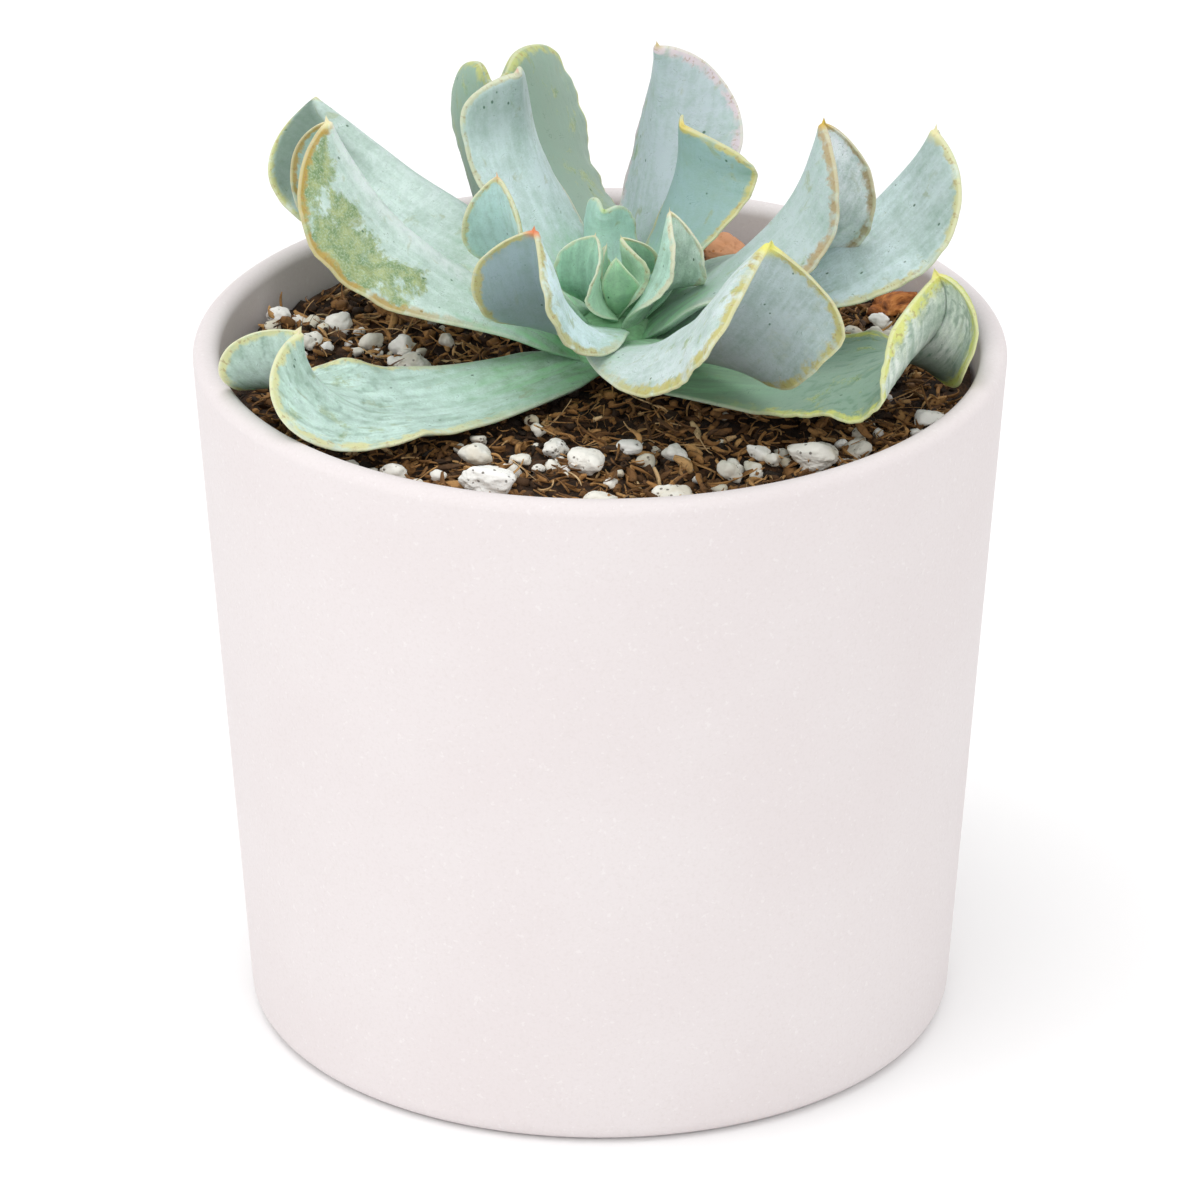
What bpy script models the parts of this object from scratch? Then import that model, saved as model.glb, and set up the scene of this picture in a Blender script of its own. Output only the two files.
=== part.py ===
"""Potted rosette succulent in a plain round planter.

The plant stands in loose gritty soil. Every leaf, granule and bark chip is a
closed solid of its own. Origin: centre of the planter's foot, on the surface
it stands on. +Z is up and the plant's front looks along -Y. Metres.
"""
import math

import bmesh
import bpy
from mathutils import Vector, noise

MM = 0.001
GAP = 0.3 * MM

# ---------------------------------------------------------------- dimensions
POT_HEIGHT = 79.5 * MM
POT_RIM_RADIUS = 45.0 * MM
POT_FOOT_RADIUS = 39.4 * MM
POT_WALL = 3.0 * MM
POT_FLOOR = 5.0 * MM
LIP_RADIUS = 1.4 * MM
FOOT_EDGE_RADIUS = 2.2 * MM
FOOT_RING_RADIUS = 33.0 * MM
FOOT_RECESS = 1.5 * MM
POT_SEGMENTS = 56

SOIL_LEVEL = 74.2 * MM
SOIL_RELIEF = 0.7 * MM
SOIL_HUMP = 0.8 * MM

PLANT_X = 1.5 * MM
PLANT_Y = 0.5 * MM
CROWN_RADIUS = 7.6 * MM
CROWN_TOP = 82.4 * MM
CROWN_BELT = 77.6 * MM
CROWN_FOOT = 75.9 * MM

LEAF_EDGE = 0.55 * MM
LEAF_THICK_BASE = 2.4 * MM
LEAF_THICK_TIP = 1.2 * MM
LEAF_START = 0.06

# One row for each leaf. Angles in degrees, lengths in millimetres.
# at: direction seen from above (0 = +X, 90 = +Y); wide: half width;
# rise, lift: slope of the midrib at its foot and at its tip; bend: how late
# it curves up; swing: turn of the heading along the leaf; roll: twist;
# fold: how far each side turns down; lean: more fold on the left side;
# broad: where it is widest; late: where the fold sets in; foot: height of its
# foot, inside the crown. Four are given only where a leaf needs them. twist:
# how late the roll comes; wider: more width on the left side, less on the
# right; span: how much of the length the fold takes to set in; out: how far
# from the plant's axis the foot starts.
LEAVES = {
    "leaf_low_left": dict(
        at=220, long=45, wide=10.5, rise=-4, lift=100, bend=3.5, swing=-20,
        roll=-10, fold=60, lean=-0.15, broad=0.85, foot=77, late=0.6,
        twist=3, wider=-0.15),
    "leaf_low_right": dict(
        at=-15, long=43, wide=13, rise=2, lift=115, bend=4, swing=-5,
        roll=-20, fold=65, lean=0.8, broad=0.85, foot=77, late=0.6,
        twist=4.5, wider=-0.45, span=0.25),
    "leaf_left": dict(
        at=170, long=41, wide=10.5, rise=25, lift=75, bend=2, swing=5,
        roll=-10, fold=60, lean=-0.5, broad=0.7, foot=77, late=0.15),
    "leaf_left_back": dict(
        at=135, long=44, wide=11.5, rise=18, lift=35, bend=3.5, swing=15,
        roll=40, fold=75, lean=-0.1, broad=0.85, foot=81, late=0.15,
        twist=2, wider=0.1),
    "leaf_tall_back": dict(
        at=115, long=38, wide=15.5, rise=25, lift=90, bend=3, swing=5,
        roll=5, fold=70, lean=0.45, broad=0.85, foot=77.5, late=0.15,
        twist=0.7, wider=-0.3),
    "leaf_back_left": dict(
        at=125, long=32, wide=6.5, rise=40, lift=100, bend=2, swing=10,
        roll=10, fold=35, lean=0, broad=0.85, foot=79, late=0.2),
    "leaf_back": dict(
        at=75, long=37, wide=8, rise=28, lift=110, bend=1.5, swing=0,
        roll=-60, fold=55, lean=-0.7, broad=0.6, foot=77.5, late=0.4,
        twist=0.7, wider=-0.35),
    "leaf_back_right": dict(
        at=45, long=24, wide=7, rise=40, lift=115, bend=2, swing=20,
        roll=-35, fold=30, lean=0.1, broad=0.85, foot=81, late=0.25,
        twist=0.7, wider=-0.35),
    "leaf_right_back": dict(
        at=5, long=35, wide=10, rise=35, lift=85, bend=2, swing=-25,
        roll=-15, fold=70, lean=0.15, broad=0.6, foot=79, late=0.2),
    "leaf_right": dict(
        at=10, long=43, wide=10, rise=25, lift=75, bend=3.5, swing=0,
        roll=10, fold=30, lean=0.5, broad=0.75, foot=77, late=0.25,
        twist=0.7, wider=-0.15),
    "leaf_front_right": dict(
        at=-75, long=43, wide=12.5, rise=12, lift=60, bend=1, swing=30,
        roll=-20, fold=55, lean=-0.05, broad=0.85, foot=79, late=0.1),
    "leaf_front_left": dict(
        at=250, long=29, wide=8, rise=10, lift=80, bend=1, swing=-10,
        roll=-5, fold=50, lean=0.2, broad=0.75, foot=81, late=0.15),
    "leaf_mid_left": dict(
        at=200, long=25, wide=5.5, rise=40, lift=80, bend=1, swing=20,
        roll=20, fold=45, lean=-0.15, broad=0.7, foot=80, late=0.2),
    "leaf_mid_right": dict(
        at=-20, out=1, long=17, wide=5.5, rise=50, lift=90, bend=1,
        swing=-15, roll=-5, fold=75, lean=0.3, broad=0.65, foot=80,
        late=0.15),
    "leaf_mid_back": dict(
        at=95, out=1.5, long=13, wide=4.5, rise=45, lift=125, bend=2.5,
        swing=20, roll=-20, fold=55, lean=0.4, broad=0.65, foot=81.5,
        late=0.1, twist=0.7, wider=0.05),
    "leaf_inner_left": dict(
        at=200, out=0.5, long=11, wide=5.5, rise=45, lift=110, bend=0.8,
        swing=25, roll=20, fold=55, lean=0.1, broad=0.65, foot=81.5, late=0,
        twist=0.7, wider=0.25),
    "leaf_inner_right": dict(
        at=15, out=0, long=10, wide=4, rise=60, lift=105, bend=0.8,
        swing=-20, roll=-25, fold=75, lean=0.25, broad=0.7, foot=81.5,
        late=0.1, twist=3),
    "leaf_core_left": dict(
        at=185, out=0.5, long=8.5, wide=1.5, rise=80, lift=100, bend=1.5,
        swing=0, roll=0, fold=30, lean=0, broad=0.6, foot=82, late=0.2),
    "leaf_core_front": dict(
        at=-85, long=8, wide=2, rise=60, lift=100, bend=1.5, swing=-10,
        roll=5, fold=40, lean=0.25, broad=0.6, foot=83, late=0.35,
        twist=0.7, wider=0.25),
    "leaf_core_back": dict(
        at=115, out=1, long=6, wide=1, rise=70, lift=90, bend=1,
        swing=15, roll=20, fold=-10, lean=0, broad=0.65, foot=82.5,
        late=0.2),
}


# ---------------------------------------------------------------- scene set-up
for old in list(bpy.data.objects):
    bpy.data.objects.remove(old, do_unlink=True)

parts = bpy.data.collections.new("potted_succulent")
bpy.context.scene.collection.children.link(parts)
cutters = bpy.data.collections.new("potted_succulent_cutters")
bpy.context.scene.collection.children.link(cutters)


def material(name, colour, roughness):
    mat = bpy.data.materials.new(name)
    mat.use_nodes = True
    shader = mat.node_tree.nodes["Principled BSDF"]
    shader.inputs["Base Color"].default_value = (*colour, 1.0)
    shader.inputs["Roughness"].default_value = roughness
    shader.inputs["Metallic"].default_value = 0.0
    mat.diffuse_color = (*colour, 1.0)
    return mat


CERAMIC = material("planter_ceramic", (0.80, 0.77, 0.75), 0.55)
SOIL = material("potting_soil", (0.07, 0.035, 0.02), 0.95)
LEAF = material("leaf_skin", (0.40, 0.60, 0.47), 0.60)
CROWN = material("crown_skin", (0.33, 0.58, 0.36), 0.60)
PERLITE = material("perlite", (0.80, 0.77, 0.68), 0.90)
BARK = material("bark", (0.30, 0.13, 0.05), 0.85)


def publish(name, bm, mat):
    bmesh.ops.recalc_face_normals(bm, faces=bm.faces[:])
    mesh = bpy.data.meshes.new(name)
    bm.to_mesh(mesh)
    bm.free()
    mesh.materials.append(mat)
    mesh.shade_smooth()
    mesh.set_sharp_from_angle(angle=math.radians(40))
    obj = bpy.data.objects.new(name, mesh)
    parts.objects.link(obj)
    return obj


def turned(name, profile, mat, segments):
    """A turned body from a profile of (radius, height) points in the XZ plane."""
    bm = bmesh.new()
    verts = [bm.verts.new((r, 0.0, z)) for r, z in profile]
    for a, b in zip(verts, verts[1:]):
        bm.edges.new((a, b))
    mesh = bpy.data.meshes.new(name)
    bm.to_mesh(mesh)
    bm.free()
    mesh.materials.append(mat)
    obj = bpy.data.objects.new(name, mesh)
    parts.objects.link(obj)
    screw = obj.modifiers.new("turn", "SCREW")
    screw.axis = "Z"
    screw.angle = math.tau
    screw.steps = segments
    screw.render_steps = segments
    screw.use_merge_vertices = True
    screw.merge_threshold = 0.00002
    screw.use_smooth_shade = True
    return obj


def fixed_mesh(obj):
    """The object's evaluated mesh as a bmesh; the object itself is removed."""
    depsgraph = bpy.context.evaluated_depsgraph_get()
    mesh = bpy.data.meshes.new_from_object(obj.evaluated_get(depsgraph))
    bpy.data.objects.remove(obj, do_unlink=True)
    bm = bmesh.new()
    bm.from_mesh(mesh)
    return bm


def arc(cx, cz, radius, start, stop, count):
    """Points on an arc in the profile plane, angles in degrees from +X."""
    points = []
    for i in range(count):
        a = math.radians(start + (stop - start) * i / (count - 1))
        points.append((cx + radius * math.cos(a), cz + radius * math.sin(a)))
    return points


# ---------------------------------------------------------------- planter
TAPER = math.atan2(POT_RIM_RADIUS - POT_FOOT_RADIUS, POT_HEIGHT)


def outer_radius(z):
    return POT_FOOT_RADIUS + (POT_RIM_RADIUS - POT_FOOT_RADIUS) * z / POT_HEIGHT


def inner_radius(z):
    return outer_radius(z) - POT_WALL


pot_profile = [(0.0, POT_FLOOR), (20 * MM, POT_FLOOR)]
pot_profile += arc(inner_radius(POT_FLOOR) - 3.5 * MM, POT_FLOOR + 3.5 * MM,
                   3.5 * MM, -90, 0, 4)
lip_z = POT_HEIGHT - LIP_RADIUS
pot_profile += [(inner_radius(40 * MM), 40 * MM)]
pot_profile += arc(inner_radius(lip_z) + LIP_RADIUS, lip_z, LIP_RADIUS, 180, 90, 4)
pot_profile += arc(outer_radius(lip_z) - LIP_RADIUS, lip_z, LIP_RADIUS, 90, 0, 4)
pot_profile += [(outer_radius(40 * MM), 40 * MM)]
pot_profile += arc(outer_radius(FOOT_EDGE_RADIUS) - FOOT_EDGE_RADIUS, FOOT_EDGE_RADIUS,
                   FOOT_EDGE_RADIUS, 0, -90, 4)
pot_profile += [
    (FOOT_RING_RADIUS, 0.0),
    (FOOT_RING_RADIUS - 1.0 * MM, FOOT_RECESS),
    (0.0, FOOT_RECESS),
]
pot = turned("pot", pot_profile, CERAMIC, POT_SEGMENTS)


# ---------------------------------------------------------------- soil
def soil_height(x, y):
    """Height of the soil at a place: a low hump under the plant and lumps."""
    r = math.hypot(x, y)
    hump = SOIL_HUMP * math.exp(-((r / (18 * MM)) ** 2))
    lumps = noise.noise(Vector((x * 110, y * 110, 3.7)))
    lumps += 0.5 * noise.noise(Vector((x * 260, y * 260, 8.1)))
    return SOIL_LEVEL + hump + SOIL_RELIEF * lumps


soil_top_radius = inner_radius(SOIL_LEVEL) - GAP
soil_low_radius = inner_radius(12 * MM) - GAP
SOIL_RINGS = 11
soil_profile = []
for i in range(SOIL_RINGS):
    soil_profile.append((soil_top_radius * i / (SOIL_RINGS - 1), SOIL_LEVEL))
soil_profile[-1] = (soil_top_radius - 0.4 * MM, SOIL_LEVEL)
soil_profile += [
    (soil_top_radius - 0.1 * MM, SOIL_LEVEL - 3.0 * MM),
    (soil_low_radius - 0.1 * MM, 12 * MM),
    (soil_low_radius - 4.0 * MM, POT_FLOOR + GAP),
    (0.0, POT_FLOOR + GAP),
]
bm = fixed_mesh(turned("soil_blank", soil_profile, SOIL, 48))
for v in bm.verts:
    if v.co.z > SOIL_LEVEL - 0.5 * MM:
        v.co.z = soil_height(v.co.x, v.co.y)
publish("soil", bm, SOIL)


# ---------------------------------------------------------------- crown
# The short stem, standing on the soil, that the leaf bases are packed round.
def crown_profile(grow):
    """Dome over a short neck; grow moves the whole outline outwards."""
    points = [(0.0, CROWN_TOP + grow)]
    for i in range(1, 7):
        a = math.radians(90 - 90 * i / 6)
        points.append(((CROWN_RADIUS + grow) * math.cos(a),
                       CROWN_BELT + (CROWN_TOP - CROWN_BELT + grow) * math.sin(a)))
    points += [
        ((CROWN_RADIUS + grow) * 0.86, CROWN_FOOT + 0.5 * MM - grow),
        ((CROWN_RADIUS + grow) * 0.6, CROWN_FOOT - grow),
        (0.0, CROWN_FOOT - grow),
    ]
    return points


crown = turned("crown", crown_profile(0.0), CROWN, 24)
crown.location = (PLANT_X, PLANT_Y, 0.0)
crown_clear = turned("crown_clear", crown_profile(GAP), CROWN, 24)
crown_clear.location = (PLANT_X, PLANT_Y, 0.0)


# ---------------------------------------------------------------- leaves
def ease(a, b, x):
    t = min(max((x - a) / (b - a), 0.0), 1.0)
    return t * t * (3.0 - 2.0 * t)


def leaf_frame(row, s, steps=80):
    """Midrib point and the leaf's own axes at the share s of its length."""
    out = row.get("out", 2.0) * MM
    point = Vector((
        PLANT_X + out * math.cos(math.radians(row["at"])),
        PLANT_Y + out * math.sin(math.radians(row["at"])),
        row["foot"] * MM))
    length = row["long"] * MM

    def angles(u):
        slope = row["rise"] + (row["lift"] - row["rise"]) * u ** row["bend"]
        heading = row["at"] + row["swing"] * u
        return math.radians(slope), math.radians(heading)

    count = max(1, int(round(steps * s)))
    for i in range(count):
        slope, heading = angles(s * (i + 0.5) / count)
        run = math.cos(slope)
        point += Vector((run * math.cos(heading), run * math.sin(heading),
                         math.sin(slope))) * (length * s / count)
    slope, heading = angles(s)
    run = math.cos(slope)
    along = Vector((run * math.cos(heading), run * math.sin(heading), math.sin(slope)))
    across = Vector((-math.sin(heading), math.cos(heading), 0.0))
    up = along.cross(across)
    turn = math.radians(row["roll"] * s ** row.get("twist", 1.0))
    side = across * math.cos(turn) + up * math.sin(turn)
    face = up * math.cos(turn) - across * math.sin(turn)
    return point, along, side, face


def half_width(row, s):
    """Narrow foot, widest near the end, then a short pointed tip."""
    broad = row["broad"]
    if s < broad:
        share = 0.45 + 0.55 * ease(0.0, broad, s)
    else:
        u = (s - broad) / (1.0 - broad)
        share = max(0.0, 1.0 - u ** 2.4) ** 0.7
    return row["wide"] * MM * share


def leaf_ring(row, s, across_count, grow):
    """Closed ring of points round the leaf at s: upper face, then lower face."""
    centre, along, side, face = leaf_frame(row, s)
    width = half_width(row, s) + grow
    folded = min(row["late"] + row.get("span", 0.6), 1.0)
    fold = -12 + (row["fold"] + 12) * ease(row["late"], folded, s)
    size = min(1.0, 0.35 + row["long"] / 60.0)
    thick = size * (LEAF_THICK_BASE + (LEAF_THICK_TIP - LEAF_THICK_BASE) * s)
    thick = min(thick, 0.45 * width)
    edge = min(LEAF_EDGE * min(1.0, 0.5 + row["long"] / 60.0), 0.6 * thick)
    upper = []
    lower = []
    for i in range(across_count):
        t = -1.0 + 2.0 * i / (across_count - 1)
        sign = -1.0 if t < 0 else 1.0
        turn = math.radians(fold * (1.0 + sign * row["lean"]))
        a0 = 0.55 * turn
        a1 = 1.25 * turn
        a = a0 + (a1 - a0) * abs(t)
        reach = width * (1.0 + sign * row.get("wider", 0.0))
        if abs(a1 - a0) > 1e-3:
            x = reach * (math.sin(a) - math.sin(a0)) / (a1 - a0)
            y = reach * (math.cos(a) - math.cos(a0)) / (a1 - a0)
        else:
            x = reach * abs(t)
            y = 0.0
        place = centre + side * (sign * x) + face * y
        normal = face * math.cos(a) + side * (sign * math.sin(a))
        half = grow + 0.5 * (edge + (thick - edge) * max(0.0, 1.0 - t * t) ** 0.8)
        upper.append(place + normal * half)
        lower.append(place - normal * half)
    return upper + lower[::-1]


def leaf_solid(name, row, grow=0.0):
    big = row["long"] > 16
    across_count = 7 if big else 5
    sections = 12 if big else 8
    bm = bmesh.new()
    rings = []
    for i in range(sections):
        u = i / (sections - 1)
        s = LEAF_START + (0.975 - LEAF_START) * (1.0 - (1.0 - u) ** 1.25)
        rings.append([bm.verts.new(p) for p in leaf_ring(row, s, across_count, grow)])
    tip_point, along, side, face = leaf_frame(row, 1.0)
    tip = bm.verts.new(tip_point + along * 0.3 * MM)
    count = len(rings[0])
    for low, high in zip(rings, rings[1:]):
        for j in range(count):
            k = (j + 1) % count
            bm.faces.new((low[j], low[k], high[k], high[j]))
    for j in range(count):
        bm.faces.new((rings[-1][j], rings[-1][(j + 1) % count], tip))
    bm.faces.new(rings[0][::-1])
    bmesh.ops.triangulate(bm, faces=[f for f in bm.faces if len(f.verts) > 4])
    return publish(name, bm, LEAF)


def cut(target, cutter):
    """Take the cutter's space out of the target."""
    trim = target.modifiers.new("clear_of_" + cutter.name, "BOOLEAN")
    trim.operation = "DIFFERENCE"
    # EXACT leaves sliver faces on these thin curved solids.
    trim.solver = "MANIFOLD"
    trim.object = cutter


def as_cutter(obj):
    parts.objects.unlink(obj)
    cutters.objects.link(obj)
    obj.hide_render = True
    obj.display_type = "WIRE"
    return obj


# Where two leaf bases crowd each other, the lower leaf gives way to the upper.
GIVES_WAY = [
    ("leaf_low_right", "leaf_right"),
    ("leaf_left", "leaf_left_back"),
    ("leaf_tall_back", "leaf_left"),
    ("leaf_tall_back", "leaf_left_back"),
    ("leaf_left_back", "leaf_back_left"),
    ("leaf_left_back", "leaf_mid_left"),
    ("leaf_back", "leaf_tall_back"),
    ("leaf_tall_back", "leaf_back_left"),
    ("leaf_right", "leaf_back"),
    ("leaf_right", "leaf_right_back"),
    ("leaf_back", "leaf_right_back"),
    ("leaf_back", "leaf_back_right"),
    ("leaf_back_left", "leaf_back_right"),
    ("leaf_back_left", "leaf_mid_back"),
    ("leaf_right_back", "leaf_back_right"),
    ("leaf_right_back", "leaf_front_right"),
    ("leaf_right_back", "leaf_mid_right"),
    ("leaf_back_right", "leaf_mid_right"),
    ("leaf_back_right", "leaf_mid_back"),
    ("leaf_front_right", "leaf_front_left"),
    ("leaf_front_left", "leaf_mid_left"),
    ("leaf_mid_left", "leaf_inner_left"),
    ("leaf_mid_right", "leaf_inner_right"),
    ("leaf_core_left", "leaf_inner_left"),
    ("leaf_core_back", "leaf_core_left"),
    ("leaf_core_front", "leaf_inner_left"),
    ("leaf_core_front", "leaf_inner_right"),
    ("leaf_core_back", "leaf_inner_right"),
    ("leaf_core_left", "leaf_core_front"),
]
leaves = {name: leaf_solid(name, row) for name, row in LEAVES.items()}
clearances = {}
for lower, upper in GIVES_WAY:
    if upper not in clearances:
        grown = leaf_solid(upper + "_clear", LEAVES[upper], GAP)
        clearances[upper] = as_cutter(grown)
    cut(leaves[lower], clearances[upper])
as_cutter(crown_clear)
for leaf in leaves.values():
    cut(leaf, crown_clear)


# ---------------------------------------------------------------- grit and bark
def lump(name, x, y, size, tall, seed, mat, rough=0.22):
    """A rounded stone-like lump lying in the soil; x, y, size, tall in mm."""
    bm = bmesh.new()
    bmesh.ops.create_icosphere(bm, subdivisions=2, radius=1.0)
    cx = x * MM
    cy = y * MM
    base = soil_height(cx, cy)
    for v in bm.verts:
        swell = 1.0 + rough * noise.noise(v.co * 1.7 + Vector((seed, seed * 0.7, 2.0)))
        v.co *= swell
        v.co.x = cx + v.co.x * size * 0.5 * MM
        v.co.y = cy + v.co.y * size * 0.5 * MM * 0.9
        v.co.z = base + (v.co.z * 0.5 + 0.28) * tall * MM
        floor = soil_height(v.co.x, v.co.y) + GAP * 1.6
        v.co.z = max(v.co.z, floor)
    return publish(name, bm, mat)


# name, x, y, width, height
GRANULES = [
    ("granule_01", -12, -29.5, 6.2, 4.4),
    ("granule_02", -13.5, -22.5, 3.8, 3.2),
    ("granule_03", -8.5, -23.5, 2, 1.9),
    ("granule_04", -4.8, -20.5, 3, 2.5),
    ("granule_05", -1.5, -24.2, 4.2, 3.4),
    ("granule_06", 0, -33.5, 4, 2.4),
    ("granule_07", 3.2, -19.5, 3, 2.2),
    ("granule_08", 8, -21, 3, 2.5),
    ("granule_09", 7.6, -32.5, 4.4, 2.8),
    ("granule_10", 14, -25.8, 3, 2.8),
    ("granule_11", 17.2, -22.8, 2.7, 2.2),
    ("granule_12", 23, -23, 5.6, 4.2),
    ("granule_13", 28, -21.5, 3, 2.4),
    ("granule_14", 36, -13.5, 3.2, 2.4),
    ("granule_15", -22.3, -26, 3, 2.6),
    ("granule_16", -27, -24.5, 2.7, 2.2),
    ("granule_17", -36, 16, 3, 2.6),
    ("granule_18", -29.3, 15, 3.2, 2.8),
    ("granule_19", -32.2, 9, 2.8, 2.4),
    ("granule_20", -25.5, 9, 3, 2.8),
    ("granule_21", -22.2, 8.5, 2.8, 3),
    ("granule_22", -20.5, 2.5, 4.6, 2.6),
    ("granule_23", 27.8, 11.5, 3, 2.6),
    ("granule_24", 31.2, 15.5, 2.4, 2),
    ("granule_25", 27.8, 5.5, 2.4, 1.8),
    ("granule_26", 14.5, 32.5, 6.4, 5),
    ("granule_27", -13, 29, 3.4, 2.6),
]
for index, (lump_name, gx, gy, width, tall) in enumerate(GRANULES):
    lump(lump_name, gx, gy, width, tall, 1.3 + 2.9 * index, PERLITE)

CHIPS = [
    ("bark_chip_01", 33, 18.8, 5.8, 3.2),
    ("bark_chip_02", -3, 33.0, 5.5, 2.4),
    ("bark_chip_03", -20, -5.5, 4.0, 2.0),
]
for index, (lump_name, gx, gy, width, tall) in enumerate(CHIPS):
    lump(lump_name, gx, gy, width, tall, 61.0 + 3.1 * index, BARK, rough=0.6)
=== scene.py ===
"""Potted rosette succulent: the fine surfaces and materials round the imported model."""
import math

import bmesh
import bpy
import numpy as np
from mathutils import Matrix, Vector, noise
from mathutils.bvhtree import BVHTree


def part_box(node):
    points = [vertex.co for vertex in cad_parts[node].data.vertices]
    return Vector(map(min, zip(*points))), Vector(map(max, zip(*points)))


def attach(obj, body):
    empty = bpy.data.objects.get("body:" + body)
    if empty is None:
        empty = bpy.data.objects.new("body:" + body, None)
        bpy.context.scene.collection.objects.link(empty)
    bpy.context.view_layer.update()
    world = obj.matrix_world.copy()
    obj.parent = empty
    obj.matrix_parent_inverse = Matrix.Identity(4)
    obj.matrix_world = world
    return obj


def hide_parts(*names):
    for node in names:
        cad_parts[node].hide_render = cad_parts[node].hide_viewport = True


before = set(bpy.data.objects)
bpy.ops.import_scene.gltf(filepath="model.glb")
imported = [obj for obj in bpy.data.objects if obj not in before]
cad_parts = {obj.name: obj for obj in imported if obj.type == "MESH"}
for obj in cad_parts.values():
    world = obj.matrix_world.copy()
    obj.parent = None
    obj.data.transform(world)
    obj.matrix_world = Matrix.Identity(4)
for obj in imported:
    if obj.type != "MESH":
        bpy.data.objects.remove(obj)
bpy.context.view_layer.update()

MM = 0.001
scene = bpy.context.scene
scene.view_settings.view_transform = "Standard"

# ---------------------------------------------------------------- camera
CAMERA_TILT = math.radians(24.92)
CAMERA_DISTANCE = 1.0
AIM = Vector((0.0, 0.0, 0.0477))
camera_data = bpy.data.cameras.new("camera")
camera_data.lens = 268.5
camera_data.sensor_width = 36.0
camera = bpy.data.objects.new("camera", camera_data)
scene.collection.objects.link(camera)
away = Vector((0.0, -math.cos(CAMERA_TILT), math.sin(CAMERA_TILT)))
camera.location = AIM + away * CAMERA_DISTANCE
camera.rotation_euler = (math.radians(90) - CAMERA_TILT, 0.0, 0.0)
scene.camera = camera

# ---------------------------------------------------------------- light
world = bpy.data.worlds.new("studio")
world.use_nodes = True
world.node_tree.nodes["Background"].inputs["Color"].default_value = (1.0, 1.0, 1.0, 1.0)
world.node_tree.nodes["Background"].inputs["Strength"].default_value = 0.80
scene.world = world


def softbox(name, place, size, power):
    data = bpy.data.lights.new(name, "AREA")
    data.shape = "DISK"
    data.size = size
    data.energy = power
    lamp = bpy.data.objects.new(name, data)
    scene.collection.objects.link(lamp)
    lamp.location = place
    toward = Vector((0.0, 0.0, 0.07)) - Vector(place)
    lamp.rotation_euler = toward.to_track_quat("-Z", "Y").to_euler()


softbox("key", (-1.8, -0.6, 0.9), 1.6, 6.4)
softbox("top", (-0.35, -0.35, 1.9), 1.3, 10.5)
softbox("back", (0.9, 1.2, 1.2), 1.2, 4.0)
softbox("front", (0.35, -1.6, 1.05), 1.3, 5.0)


# ---------------------------------------------------------------- node helpers
def srgb(r, g, b):
    out = []
    for c in (r, g, b):
        c /= 255.0
        out.append(c / 12.92 if c <= 0.04045 else ((c + 0.055) / 1.055) ** 2.4)
    return (*out, 1.0)


class Graph:
    """A material's node tree, with short calls for the nodes used here."""

    def __init__(self, name):
        self.mat = bpy.data.materials.new(name)
        self.mat.use_nodes = True
        self.tree = self.mat.node_tree
        self.shader = self.tree.nodes["Principled BSDF"]

    def node(self, kind, **props):
        made = self.tree.nodes.new(kind)
        for key, value in props.items():
            setattr(made, key, value)
        return made

    def put(self, socket, value):
        if isinstance(value, bpy.types.NodeSocket):
            self.tree.links.new(value, socket)
        else:
            socket.default_value = value

    def math(self, op, a, b=0.0, clamp=False):
        made = self.node("ShaderNodeMath", operation=op, use_clamp=clamp)
        self.put(made.inputs[0], a)
        self.put(made.inputs[1], b)
        return made.outputs[0]

    def mul(self, *values):
        out = values[0]
        for value in values[1:]:
            out = self.math("MULTIPLY", out, value)
        return out

    def ramp(self, value, low, high, start=0.0, end=1.0):
        made = self.node("ShaderNodeMapRange", interpolation_type="SMOOTHSTEP")
        self.put(made.inputs[0], value)
        for i, setting in enumerate((low, high, start, end)):
            self.put(made.inputs[1 + i], setting)
        return made.outputs[0]

    def mix(self, factor, a, b, blend="MIX"):
        made = self.node("ShaderNodeMix", data_type="RGBA", blend_type=blend)
        self.put(made.inputs[0], factor)
        self.put(made.inputs[6], a)
        self.put(made.inputs[7], b)
        return made.outputs[2]

    def attribute(self, name, colour=False):
        made = self.node("ShaderNodeAttribute", attribute_name=name)
        return made.outputs["Color" if colour else "Fac"]

    def place(self):
        return self.node("ShaderNodeTexCoord").outputs["Object"]

    def noise(self, scale, detail=3.0, rough=0.55, where=None, distort=0.0):
        made = self.node("ShaderNodeTexNoise")
        self.put(made.inputs["Vector"], where or self.place())
        made.inputs["Scale"].default_value = scale
        made.inputs["Detail"].default_value = detail
        made.inputs["Roughness"].default_value = rough
        made.inputs["Distortion"].default_value = distort
        return made.outputs["Fac"]

    def cells(self, scale, where=None):
        made = self.node("ShaderNodeTexVoronoi", feature="F1")
        self.put(made.inputs["Vector"], where or self.place())
        made.inputs["Scale"].default_value = scale
        return made.outputs["Distance"]

    def stops(self, value, *pairs):
        made = self.node("ShaderNodeValToRGB")
        self.put(made.inputs[0], value)
        ramp = made.color_ramp
        ramp.elements[0].position, ramp.elements[0].color = pairs[0]
        ramp.elements[1].position, ramp.elements[1].color = pairs[-1]
        for position, colour in pairs[1:-1]:
            ramp.elements.new(position).color = colour
        return made.outputs[0]

    def bump(self, height, strength, distance):
        made = self.node("ShaderNodeBump")
        made.inputs["Strength"].default_value = strength
        made.inputs["Distance"].default_value = distance
        self.put(made.inputs["Height"], height)
        return made.outputs[0]

    def finish(self, colour, rough, normal=None):
        self.put(self.shader.inputs["Base Color"], colour)
        self.put(self.shader.inputs["Roughness"], rough)
        if normal is not None:
            self.put(self.shader.inputs["Normal"], normal)
        return self.mat


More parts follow.
